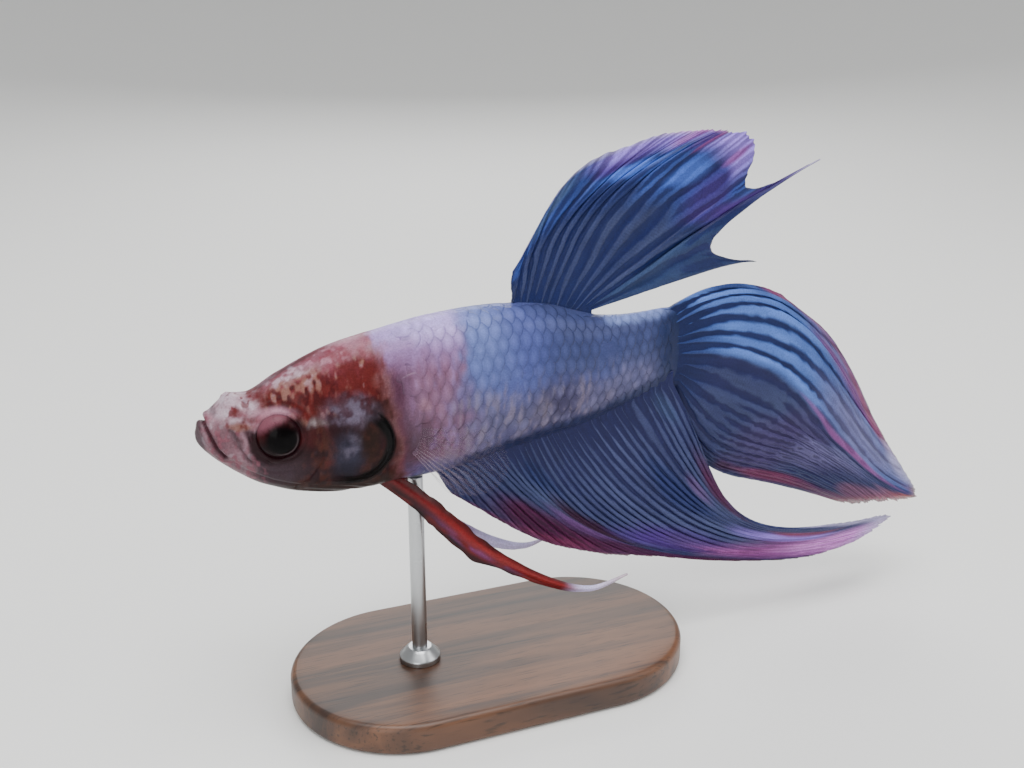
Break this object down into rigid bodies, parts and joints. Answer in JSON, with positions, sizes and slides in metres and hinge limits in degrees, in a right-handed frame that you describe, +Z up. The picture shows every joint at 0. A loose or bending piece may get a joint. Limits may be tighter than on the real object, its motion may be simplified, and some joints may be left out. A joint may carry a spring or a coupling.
{
  "type": "betta fish",
  "caption": "Male veiltail betta fish with long spread fins, swimming level above a plain oval base on one upright rod.",
  "frame": {"origin": "centre of the base's underside", "axes": "+X from the fish's snout towards its tail, +Z up, the fish's left side faces -Y"},
  "size_m": [0.0769, 0.021, 0.0506],
  "materials": {
    "body_skin": "wet, finely scaled skin: red and pinkish white on the head, lavender and blue-grey behind",
    "fin_blue": "thin wet membrane between blue rays, with crimson and pale margins",
    "fin_red": "brick-red feelers with white tips",
    "fin_clear": "nearly clear membrane with fine rays",
    "eye": "clear, wet dome over a dark red iris",
    "stand_wood": "oiled walnut",
    "stand_steel": "satin"
  },
  "bodies": {
    "root": {"head": "body_skin", "lower_jaw": "body_skin", "gill_cover_left": "body_skin", "gill_cover_right": "body_skin", "trunk": "body_skin", "tail_stalk": "body_skin", "eye_left": "eye", "eye_right": "eye", "dorsal_fin": "fin_blue", "caudal_fin": "fin_blue", "anal_fin": "fin_blue", "pelvic_fin_left": "fin_red", "pelvic_fin_right": "fin_red", "pectoral_fin_left": "fin_clear", "pectoral_fin_right": "fin_clear", "stand_base": "stand_wood", "stand_collar": "stand_steel", "stand_rod": "stand_steel"}
  },
  "joints": []
}
